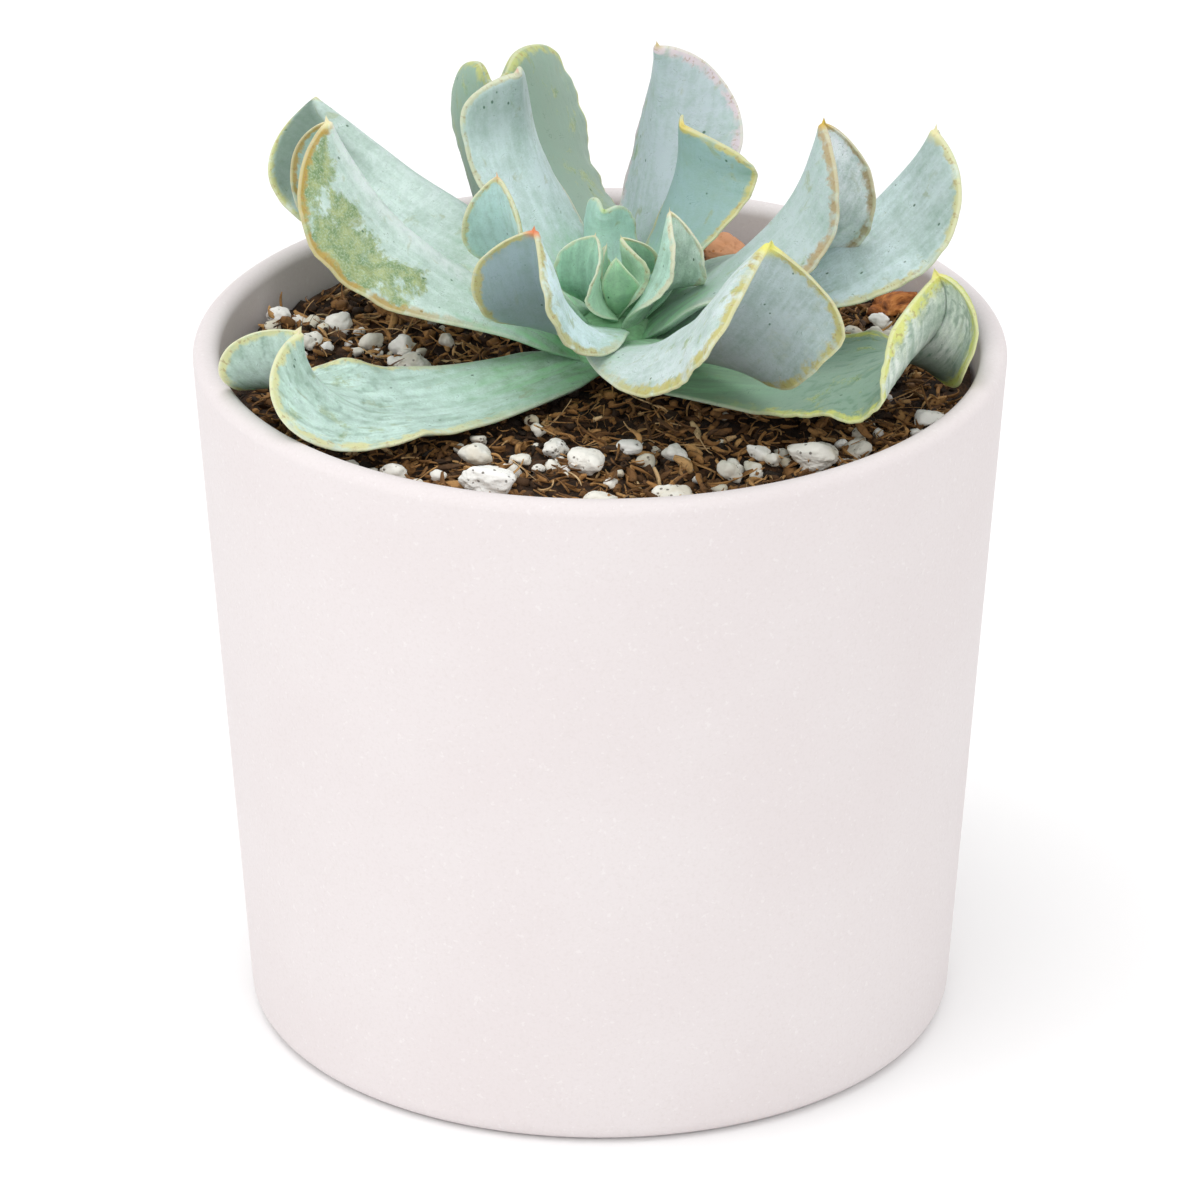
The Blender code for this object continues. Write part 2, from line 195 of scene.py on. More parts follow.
# ---------------------------------------------------------------- materials
def leaf_material():
    """Green flesh under a pale waxy bloom that is worn away in places, with painted shade and
    painted highlights.
    """
    g = Graph("leaf_skin")
    edge = g.attribute("edge")        # mm in from the margin
    band = g.attribute("band")        # mm wide margin band
    back = g.attribute("back")        # 1 on the lower face
    along = g.attribute("along")      # 0 at the foot, 1 at the tip
    wax = g.attribute("wax")          # how thick the bloom lies
    rub = g.attribute("rub")
    crease = g.attribute("crease")
    painted_shade = g.attribute("painted_shade")        # painted shade in the hollow of the lower face and over the end of the upper face
    spot = g.attribute("spot")        # 0 at the tip, 1 where its colour ends
    at = g.node("ShaderNodeAttribute", attribute_name="grain").outputs["Vector"]

    def stretch(u, v):
        made = g.node("ShaderNodeMapping")
        g.put(made.inputs["Vector"], at)
        made.inputs["Scale"].default_value = (u, v, 1.0)
        return made.outputs[0]

    cloud = g.noise(0.22, 4.0, 0.55, at)
    mottle = g.noise(0.9, 5.0, 0.62, at)
    fine = g.noise(4.5, 3.0, 0.6, at)
    streak = g.noise(1.0, 4.0, 0.55, stretch(0.10, 1.1), 0.3)

    # how much bloom covers the green
    cover = g.mul(g.ramp(along, -0.02, 0.62, 0.30, 1.0), wax)
    cover = g.math("ADD", cover, g.ramp(cloud, 0.25, 0.75, -0.20, 0.16))
    cover = g.math("ADD", cover, g.ramp(mottle, 0.25, 0.75, -0.20, 0.16))
    cover = g.math("ADD", cover, g.ramp(streak, 0.25, 0.75, -0.19, 0.13))
    cover = g.math("ADD", cover, g.ramp(fine, 0.25, 0.75, -0.11, 0.11), clamp=True)
    flesh = g.mix(g.ramp(streak, 0.35, 0.7), g.attribute("green", True), srgb(122, 160, 118))
    flesh = g.mix(g.ramp(along, 0.15, 0.55), flesh, srgb(138, 168, 150))
    flesh = g.mix(g.mul(back, 0.35), flesh, srgb(104, 132, 118))
    wax_tint = g.mix(back, g.attribute("skin", True), g.attribute("under", True))
    colour = g.mix(cover, flesh, wax_tint)

    # worn patches with flakes of bloom left in them
    flake = g.noise(0.30, 8.0, 0.68, at, 0.35)
    flake = g.math("ADD", flake, g.ramp(fine, 0.25, 0.75, -0.035, 0.035))
    worn = g.mul(g.ramp(g.math("ADD", flake, g.mul(rub, 0.19)), 0.575, 0.665),
                 g.ramp(rub, 0.0, 0.25), g.ramp(back, 0.4, 0.6, 1.0, 0.25))
    bare = g.mix(g.ramp(mottle, 0.35, 0.65), srgb(104, 134, 70), srgb(170, 180, 112))
    bare = g.mix(g.ramp(fine, 0.42, 0.68, 0.0, 0.65), bare, srgb(184, 202, 172))
    colour = g.mix(g.mul(worn, 0.85), colour, bare)
    stain = g.mul(g.ramp(g.noise(0.42, 5.0, 0.6, stretch(0.7, 1.0), 0.8), 0.60, 0.70),
                  g.ramp(along, 0.1, 0.3), g.ramp(back, 0.4, 0.6, 0.42, 0.18))
    colour = g.mix(stain, colour, srgb(150, 158, 98))

    # thin squiggled scratches
    line = g.math("ABSOLUTE", g.math("SUBTRACT", g.noise(0.55, 3.0, 0.6, at, 1.2), 0.5))
    scratch = g.mul(g.ramp(line, 0.010, 0.002), g.ramp(mottle, 0.50, 0.62))
    colour = g.mix(g.mul(scratch, 0.55), colour, srgb(88, 122, 98))
    # painted shade: darker green along the crease lines
    folds = g.mul(g.ramp(crease, 0.40, 0.90), 0.46)
    colour = g.mix(folds, colour, srgb(92, 130, 106))

    # small dark pits
    pits = g.ramp(g.cells(0.62, stretch(0.7, 1.0)), 0.105, 0.055)
    pits = g.mul(pits, g.ramp(g.noise(0.25, 2.0, 0.5, at), 0.47, 0.53))
    colour = g.mix(g.mul(pits, 0.8), colour, srgb(58, 98, 72))

    # coloured band along the margin, and a painted highlight: a pale line at the very rim
    wobble = g.noise(0.9, 4.0, 0.6, at)
    reach = g.mul(band, g.ramp(wobble, 0.25, 0.75, 0.45, 1.6))
    near = g.mul(g.ramp(edge, reach, g.mul(reach, 0.45)),
                 g.ramp(g.noise(0.5, 3.0, 0.6, at), 0.34, 0.52, 0.25, 1.0),
                 g.ramp(along, 0.22, 0.60))
    colour = g.mix(g.mul(near, 0.85), colour, g.attribute("tint", True))
    tan = g.mul(near, g.ramp(g.noise(2.2, 3.0, 0.6, at), 0.56, 0.64))
    colour = g.mix(g.mul(tan, 0.5), colour, srgb(158, 124, 84))
    # painted highlight: paler along the fold of the ridge
    colour = g.mix(g.mul(g.attribute("ridge_highlight"), g.ramp(mottle, 0.3, 0.6, 0.5, 1.0)), colour,
                   srgb(232, 240, 240))
    # painted shade: dark green in the hollow of the lower face and over the end of the upper
    # face
    colour = g.mix(painted_shade, colour, srgb(58, 88, 66))
    # painted highlight: the pale line along the rounded rim
    rim = g.mul(g.ramp(edge, 0.20, 0.03), g.ramp(along, 0.05, 0.3))
    colour = g.mix(g.mul(rim, 0.34), colour, srgb(224, 228, 200))
    colour = g.mix(g.mul(g.ramp(spot, 1.0, 0.25), 0.9), colour,
                   g.attribute("tip_tint", True))

    rough = g.ramp(cover, 0.2, 0.9, 0.42, 0.60)
    height = g.math("ADD", g.mul(fine, 0.35), g.mul(mottle, 1.0))
    height = g.math("ADD", height, g.mul(streak, 0.6))
    height = g.math("SUBTRACT", height, g.mul(pits, 0.8))
    height = g.math("SUBTRACT", height, g.mul(worn, 0.25))
    mat = g.finish(colour, rough, g.bump(height, 0.30, 0.00022))
    g.shader.inputs["Subsurface Weight"].default_value = 0.20
    g.shader.inputs["Subsurface Radius"].default_value = (0.0010, 0.0016, 0.0009)
    g.shader.inputs["Subsurface Scale"].default_value = 1.0
    g.shader.inputs["Specular IOR Level"].default_value = 0.30
    return mat


def ceramic_material():
    g = Graph("planter_ceramic")
    grain = g.noise(2600.0, 3.0, 0.7)
    speck = g.ramp(g.noise(1500.0, 2.0, 0.6), 0.62, 0.72)
    wash = g.noise(45.0, 3.0, 0.5)
    colour = g.mix(g.ramp(wash, 0.3, 0.7), srgb(225, 217, 217), srgb(227, 220, 220))
    colour = g.mix(g.mul(g.ramp(grain, 0.45, 0.75), 0.35), colour, srgb(214, 205, 203))
    colour = g.mix(g.mul(speck, 0.25), colour, srgb(246, 243, 242))
    rough = g.ramp(grain, 0.2, 0.8, 0.50, 0.68)
    mat = g.finish(colour, rough, g.bump(grain, 0.18, 0.00010))
    g.shader.inputs["Specular IOR Level"].default_value = 0.35
    return mat


def soil_material():
    g = Graph("potting_soil")
    lumps = g.noise(420.0, 6.0, 0.7)
    fine = g.noise(1600.0, 4.0, 0.7)
    colour = g.stops(lumps, (0.30, srgb(18, 12, 7)), (0.48, srgb(44, 29, 16)),
                     (0.60, srgb(82, 53, 29)), (0.75, srgb(116, 78, 44)))
    colour = g.mix(g.ramp(fine, 0.60, 0.72), colour, srgb(140, 98, 56))
    return g.finish(colour, 0.95, g.bump(g.math("ADD", lumps, g.mul(fine, 0.4)),
                                         0.8, 0.0006))


def shred_material():
    g = Graph("bark_fibre")
    shade = g.attribute("shade")
    streak = g.noise(700.0, 5.0, 0.65, distort=1.2)
    colour = g.stops(shade, (0.0, srgb(28, 19, 11)), (0.28, srgb(70, 46, 24)),
                     (0.48, srgb(126, 88, 48)), (0.66, srgb(172, 124, 70)),
                     (0.84, srgb(204, 158, 100)), (1.0, srgb(224, 192, 144)))
    colour = g.mix(g.mul(g.ramp(streak, 0.46, 0.68), 0.55), colour, srgb(44, 28, 15))
    return g.finish(colour, 0.80, g.bump(streak, 0.7, 0.0003))


def perlite_material():
    g = Graph("perlite")
    shade = g.attribute("shade")
    grain = g.noise(700.0, 6.0, 0.72)
    wide = g.noise(260.0, 3.0, 0.6)
    colour = g.mix(shade, srgb(222, 214, 188), srgb(255, 254, 250))
    dirt = g.mul(g.ramp(wide, 0.50, 0.68), g.ramp(shade, 1.1, 0.1, 0.15, 0.75))
    colour = g.mix(dirt, colour, srgb(196, 178, 140))
    colour = g.mix(g.mul(g.ramp(grain, 0.58, 0.75), 0.22), colour, srgb(196, 188, 160))
    specks = g.mul(g.ramp(g.cells(1400.0), 0.30, 0.14),
                   g.ramp(g.noise(300.0, 2.0), 0.46, 0.54))
    colour = g.mix(g.mul(specks, 0.8), colour, srgb(70, 54, 34))
    colour = g.mix(g.attribute("tan"), colour, srgb(198, 124, 62))
    height = g.math("SUBTRACT", grain, g.mul(specks, 0.9))
    return g.finish(colour, 0.9, g.bump(height, 0.50, 0.00032))


def bark_material():
    g = Graph("bark")
    layers = g.noise(330.0, 5.0, 0.65, distort=1.6)
    colour = g.stops(layers, (0.32, srgb(96, 50, 20)), (0.46, srgb(172, 100, 42)),
                     (0.60, srgb(208, 134, 66)), (0.78, srgb(228, 176, 114)))
    return g.finish(colour, 0.8, g.bump(layers, 0.8, 0.0006))


def floor_material():
    g = Graph("studio_floor")
    soft = g.noise(3.0, 2.0)
    colour = g.mix(soft, (0.94, 0.94, 0.94, 1.0), (0.96, 0.96, 0.96, 1.0))
    return g.finish(colour, 0.9)


LEAF = leaf_material()
CERAMIC = ceramic_material()
SOIL = soil_material()
SHRED = shred_material()
PERLITE = perlite_material()
BARK = bark_material()


# ---------------------------------------------------------------- mesh helpers
def piece(name, verts, faces, mat, replaces=(), values=None):
    """A finished piece: mesh, point values, material, and its place on the part."""
    mesh = bpy.data.meshes.new(name)
    mesh.from_pydata([tuple(map(float, v)) for v in verts], [], faces)
    mesh.materials.append(mat)
    mesh.shade_smooth()
    for key, data in (values or {}).items():
        data = np.asarray(data, dtype=np.float32)
        if data.ndim == 2 and data.shape[1] == 4:
            layer = mesh.attributes.new(key, "FLOAT_COLOR", "POINT")
            layer.data.foreach_set("color", data.ravel())
        elif data.ndim == 2:
            layer = mesh.attributes.new(key, "FLOAT_VECTOR", "POINT")
            layer.data.foreach_set("vector", data.ravel())
        else:
            layer = mesh.attributes.new(key, "FLOAT", "POINT")
            layer.data.foreach_set("value", data)
    mesh.update()
    obj = bpy.data.objects.new(name, mesh)
    scene.collection.objects.link(obj)
    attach(obj, "root")
    if replaces:
        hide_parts(*replaces)
    return obj


def tube_faces(rings, count, closed_end=True):
    """Quads between rings of points; the first ring is capped, the last if asked."""
    faces = []
    for i in range(rings - 1):
        for j in range(count):
            k = (j + 1) % count
            faces.append((i * count + j, i * count + k,
                          (i + 1) * count + k, (i + 1) * count + j))
    faces.append(tuple(range(count))[::-1])
    if closed_end:
        faces.append(tuple((rings - 1) * count + j for j in range(count)))
    return faces


def ease(a, b, x):
    t = np.clip((x - a) / (b - a), 0.0, 1.0)
    return t * t * (3.0 - 2.0 * t)


def wave(x, seed, count=4):
    """Smooth unrepeating wave of one variable, about -1 to 1."""
    rng = np.random.default_rng(seed)
    total = np.zeros_like(x)
    for k in range(count):
        total += rng.uniform(0.4, 1.0) / (k + 1) * np.sin(
            x * math.tau * (k + 1) * rng.uniform(0.7, 1.3) + rng.uniform(0, math.tau))
    return total / 1.6


# ---------------------------------------------------------------- planter
POT_HEIGHT = 79.5 * MM
RIM_RADIUS = 45.0 * MM
FOOT_RADIUS = 39.4 * MM
WALL = 3.0 * MM
FLOOR_THICK = 5.0 * MM
INNER_CORNER = 3.5 * MM
FOOT_RING = 33.0 * MM
FOOT_RECESS = 1.5 * MM
LIP = 1.4 * MM
FOOT_EDGE = 2.2 * MM


def outer_radius(z):
    return FOOT_RADIUS + (RIM_RADIUS - FOOT_RADIUS) * z / POT_HEIGHT


def arc(cx, cz, radius, start, stop, count):
    angles = np.radians(np.linspace(start, stop, count))
    return [(cx + radius * math.cos(a), cz + radius * math.sin(a)) for a in angles]


def planter():
    lip_z = POT_HEIGHT - LIP
    profile = [(0.0, FLOOR_THICK), (15 * MM, FLOOR_THICK), (28 * MM, FLOOR_THICK)]
    profile += arc(outer_radius(FLOOR_THICK) - WALL - INNER_CORNER,
                   FLOOR_THICK + INNER_CORNER, INNER_CORNER, -90, 0, 6)
    for z in np.linspace(14, 74, 9) * MM:
        profile.append((outer_radius(z) - WALL, z))
    profile += arc(outer_radius(lip_z) - WALL + LIP, lip_z, LIP, 180, 90, 9)
    profile += arc(outer_radius(lip_z) - LIP, lip_z, LIP, 90, 0, 9)
    for z in np.linspace(74, 8, 12) * MM:
        profile.append((outer_radius(z), z))
    profile += arc(outer_radius(FOOT_EDGE) - FOOT_EDGE, FOOT_EDGE, FOOT_EDGE, 0, -90, 8)
    profile += [(FOOT_RING, 0.0), (32.4 * MM, 0.5 * MM), (32 * MM, FOOT_RECESS),
                (16 * MM, FOOT_RECESS), (0.0, FOOT_RECESS)]
    sides = 160
    rows = len(profile)
    verts = []
    for r, z in profile[1:-1]:
        for j in range(sides):
            a = math.tau * j / sides
            verts.append((r * math.cos(a), r * math.sin(a), z))
    faces = []
    for i in range(rows - 3):
        for j in range(sides):
            k = (j + 1) % sides
            faces.append((i * sides + j, (i + 1) * sides + j,
                          (i + 1) * sides + k, i * sides + k))
    top = len(verts)
    verts += [(0.0, 0.0, FLOOR_THICK), (0.0, 0.0, FOOT_RECESS)]
    last = (rows - 3) * sides
    for j in range(sides):
        k = (j + 1) % sides
        faces.append((top, j, k))
        faces.append((top + 1, last + k, last + j))
    return piece("planter", verts, faces, CERAMIC, ["pot"])


planter()

# ---------------------------------------------------------------- soil
SOIL_LEVEL = 74.2 * MM
SOIL_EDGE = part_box("soil")[1][0] - 0.1 * MM
SOIL_BOTTOM = 5.3 * MM


def soil_base(x, y):
    """The CAD soil's height at a place."""
    hump = 0.8 * MM * math.exp(-((math.hypot(x, y) / (18 * MM)) ** 2))
    lumps = noise.noise(Vector((x * 110, y * 110, 3.7)))
    lumps += 0.5 * noise.noise(Vector((x * 260, y * 260, 8.1)))
    return SOIL_LEVEL + hump + 0.7 * MM * lumps


def soil_height(x, y):
    """The same with the crumbs of the loose surface."""
    crumbs = noise.noise(Vector((x * 420, y * 420, 1.3)))
    crumbs += 0.6 * noise.noise(Vector((x * 1100, y * 1100, 5.9)))
    return soil_base(x, y) + 0.75 * MM * crumbs - 0.3 * MM


def soil_bed():
    rings, sides = 96, 300
    verts = [(0.0, 0.0, soil_height(0.0, 0.0))]
    for i in range(1, rings + 1):
        r = SOIL_EDGE * (i / rings) ** 0.85
        for j in range(sides):
            a = math.tau * (j + 0.5 * (i % 2)) / sides
            x, y = r * math.cos(a), r * math.sin(a)
            verts.append((x, y, soil_height(x, y)))
    faces = [(0, 1 + j, 1 + (j + 1) % sides) for j in range(sides)]
    for i in range(rings - 1):
        a, b = 1 + i * sides, 1 + (i + 1) * sides
        for j in range(sides):
            k = (j + 1) % sides
            faces.append((a + j, b + j, b + k, a + k))
    last = 1 + (rings - 1) * sides
    for z, shrink in ((60 * MM, 1.2 * MM), (12 * MM, 4.6 * MM), (SOIL_BOTTOM, 9.0 * MM)):
        start = len(verts)
        for j in range(sides):
            a = math.tau * (j + 0.5 * (rings % 2)) / sides
            r = SOIL_EDGE - shrink
            verts.append((r * math.cos(a), r * math.sin(a), z))
        for j in range(sides):
            k = (j + 1) % sides
            faces.append((last + j, start + j, start + k, last + k))
        last = start
    centre = len(verts)
    verts.append((0.0, 0.0, SOIL_BOTTOM))
    faces += [(centre, last + (j + 1) % sides, last + j) for j in range(sides)]
    return piece("soil_bed", verts, faces, SOIL, ["soil"])


soil_bed()


def sphere(level):
    bm = bmesh.new()
    bmesh.ops.create_icosphere(bm, subdivisions=level, radius=1.0)
    verts = np.array([v.co[:] for v in bm.verts])
    faces = [tuple(v.index for v in f.verts) for f in bm.faces]
    bm.free()
    return verts, faces


BALL = {level: sphere(level) for level in (2, 3, 4, 5)}


def merged(name, parts, mat):
    """One piece out of many small closed bodies, each with its own shade."""
    verts, faces, shades, base = [], [], [], 0
    for points, polygons, shade in parts:
        verts.append(points)
        faces += [tuple(base + i for i in face) for face in polygons]
        shades.append(np.full(len(points), shade))
        base += len(points)
    shades = np.concatenate(shades)
    return piece(name, np.concatenate(verts), faces, mat,
                 values={"shade": shades, "tan": 0 * shades})


def lump_points(level, size, seed, knobs=6, rough=0.075, facets=13):
    """A popped grain: a rounded block of flat faces with knobs and clefts."""
    rng = np.random.default_rng(seed)
    unit = BALL[level][0]
    normals = rng.normal(size=(facets, 3))
    normals /= np.linalg.norm(normals, axis=1)[:, None]
    reach = rng.uniform(0.72, 1.0, facets)
    press = np.clip(unit @ normals.T, 0.0, None) / reach
    radius = ((press ** 6.0).sum(axis=1) + 1e-9) ** (-1.0 / 6.0)
    radius = np.minimum(radius, 1.25)
    centres = rng.normal(size=(knobs, 3))
    centres /= np.linalg.norm(centres, axis=1)[:, None]
    near = (unit @ centres.T).max(axis=1)
    radius *= 0.88 + 0.18 * ease(0.55, 0.98, near)
    wrinkle = np.array([
        noise.noise(Vector(p) * 2.3 + Vector((seed % 17, 3.1, 0.7)))
        + 0.5 * noise.noise(Vector(p) * 5.6 + Vector((0.2, seed % 13, 4.4)))
        + 0.34 * noise.noise(Vector(p) * 12.0 + Vector((5.2, 1.0, seed % 11)))
        for p in unit])
    points = unit * (radius + rough * wrinkle)[:, None]
    low, high = points.min(axis=0), points.max(axis=0)
    points = (points - (low + high) / 2) / (high - low)
    return points * np.array(size)


TAN_GRAINS = ["granule_26"]


def granules():
    for name in sorted(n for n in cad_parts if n.startswith("granule")):
        low, high = (np.array(c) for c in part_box(name))
        seed = int(name[-2:])
        size = (high - low) * np.array([1.0, 1.0, 1.25])
        middle = (low + high) / 2
        middle[2] = high[2] - size[2] / 2
        level = 5 if size[0] > 4 * MM else 4
        points = lump_points(level, size, seed, knobs=4 + seed % 4) + middle
        shade = 0.55 + 0.45 * ((seed * 37) % 10) / 10
        count = len(points)
        piece(name + "_grain", points, BALL[level][1], PERLITE, [name],
              {"shade": np.full(count, 1.0 if seed == 1 else shade),
               "tan": np.full(count, 0.85 if name in TAN_GRAINS else 0.0)})


granules()


def chips():
    for name in sorted(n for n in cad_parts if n.startswith("bark_chip")):
        low, high = (np.array(c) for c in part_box(name))
        seed = 40 + int(name[-2:])
        size = (high - low) * np.array([0.99, 0.99, 1.2])
        middle = (low + high) / 2
        middle[2] = high[2] - size[2] / 2
        points = lump_points(4, size, seed, knobs=3, rough=0.16, facets=9) + middle
        piece(name + "_wood", points, BALL[4][1], BARK, [name])


chips()


def leaf_space():
    """A search tree over the CAD leaves, so that nothing loose sticks into one."""
    verts, faces = [], []
    for name in sorted(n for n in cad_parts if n.startswith("leaf")):
        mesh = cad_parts[name].data
        faces += [[i + len(verts) for i in f.vertices] for f in mesh.polygons]
        verts += [v.co.copy() for v in mesh.vertices]
    return BVHTree.FromPolygons(verts, faces)


LEAF_SPACE = leaf_space()
LITTER_GAP = 0.9 * MM
WALL_GAP = 0.2 * MM


def clear_of_leaves(points):
    return all(LEAF_SPACE.find_nearest(Vector(p), LITTER_GAP)[0] is None for p in points)


def inside_wall(points):
    return all(math.hypot(p[0], p[1]) < SOIL_EDGE - WALL_GAP for p in points)


def scatter(rng, count, low=0.0):
    """Random places on the soil, none nearer the wall than a millimetre."""
    r = (SOIL_EDGE - 1.2 * MM) * np.sqrt(rng.uniform(low, 1.0, count))
    a = rng.uniform(0.0, math.tau, count)
    return r * np.cos(a), r * np.sin(a)


def crumbs():
    rng = np.random.default_rng(11)
    parts = []
    for x, y in zip(*scatter(rng, 2200)):
        size = rng.uniform(0.4, 1.7) * MM
        turn = rng.uniform(0, math.tau)
        points = BALL[2][0] * (1.0 + 0.35 * rng.uniform(-1, 1, (len(BALL[2][0]), 1)))
        points = points * np.array([size, size * rng.uniform(0.5, 1.0),
                                    size * rng.uniform(0.4, 0.8)]) * 0.5
        c, s = math.cos(turn), math.sin(turn)
        points = points @ np.array([[c, s, 0], [-s, c, 0], [0, 0, 1]])
        points = points + np.array([x, y, soil_height(x, y) + 0.15 * size])
        parts.append((points, BALL[2][1], rng.uniform(0.0, 0.70)))
    merged("soil_crumbs", parts, SHRED)


crumbs()


STEEPEST = 0.55


def shreds(name, count, seed, longest, widest, curl, lift, shade):
    """Curled flat shreds of fibre, each a short bent ribbon with thickness."""
    rng = np.random.default_rng(seed)
    parts = []
    steps = 8
    for x, y in zip(*scatter(rng, count)):
        length = rng.uniform(0.45, 1.0) * longest
        width = rng.uniform(0.5, 1.0) * widest
        thick = width * 0.28
        heading = rng.uniform(0, math.tau)
        slope = rng.uniform(-0.30, 0.40)
        turn = rng.normal(0.0, curl)
        rise = rng.normal(0.0, curl * 0.8)
        point = np.array([x, y, soil_height(x, y) + lift * rng.uniform(0.1, 1.0)])
        ring = []
        roll = rng.uniform(0, math.tau)
        spin = rng.normal(0.0, 1.5)
        for i in range(steps):
            u = i / (steps - 1)
            h = heading + turn * u
            e = min(slope + rise * u, STEEPEST)
            along = np.array([math.cos(e) * math.cos(h), math.cos(e) * math.sin(h),
                              math.sin(e)])
            side = np.array([-math.sin(h), math.cos(h), 0.0])
            up = np.cross(along, side)
            w = width * (0.35 + 0.65 * math.sin(math.pi * (0.08 + 0.84 * u)))
            r = roll + spin * u
            sx = side * math.cos(r) + up * math.sin(r)
            sy = up * math.cos(r) - side * math.sin(r)
            for a in range(6):
                t = math.tau * a / 6
                ring.append(point + sx * (w / 2 * math.cos(t))
                            + sy * (thick / 2 * math.sin(t)))
            point = point + along * (length / (steps - 1))
        colour = float(np.clip(rng.normal(*shade), 0, 1))
        if clear_of_leaves(ring[::3]) and inside_wall(ring[::3]):
            parts.append((np.array(ring), tube_faces(steps, 6), colour))
    merged(name, parts, SHRED)


shreds("peat_shreds", 2600, 21, 3.0 * MM, 0.70 * MM, 1.6, 1.1 * MM, (0.58, 0.20))
shreds("bark_flakes", 260, 23, 4.4 * MM, 1.4 * MM, 0.9, 0.9 * MM, (0.60, 0.18))
shreds("peat_fibres", 1000, 22, 4.6 * MM, 0.30 * MM, 1.3, 1.2 * MM, (0.70, 0.18))


def small_grit():
    """Small bits of perlite, most of them near the bigger granules."""
    rng = np.random.default_rng(31)
    parts = []
    spots = list(zip(*scatter(rng, 60, 0.12)))
    for name in sorted(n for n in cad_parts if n.startswith("granule")):
        low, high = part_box(name)
        for _ in range(4):
            turn = rng.uniform(0, math.tau)
            gap = (high[0] - low[0]) * rng.uniform(0.55, 1.1)
            x = (low[0] + high[0]) / 2 + gap * math.cos(turn)
            y = (low[1] + high[1]) / 2 + gap * math.sin(turn)
            if math.hypot(x, y) < SOIL_EDGE - 1.6 * MM:
                spots.append((x, y))
    for x, y in spots:
        size = rng.uniform(0.7, 2.2) * MM
        points = lump_points(3, (size, size * 0.9, size * 0.8), int(rng.integers(1e6)))
        points = points + np.array([x, y, soil_height(x, y) + rng.uniform(0.2, 0.5) * size])
        parts.append((points, BALL[3][1], rng.uniform(0.2, 1.0)))
    merged("small_grit", parts, PERLITE)


small_grit()

# ---------------------------------------------------------------- leaves
PLANT_X = 1.5 * MM
PLANT_Y = 0.5 * MM

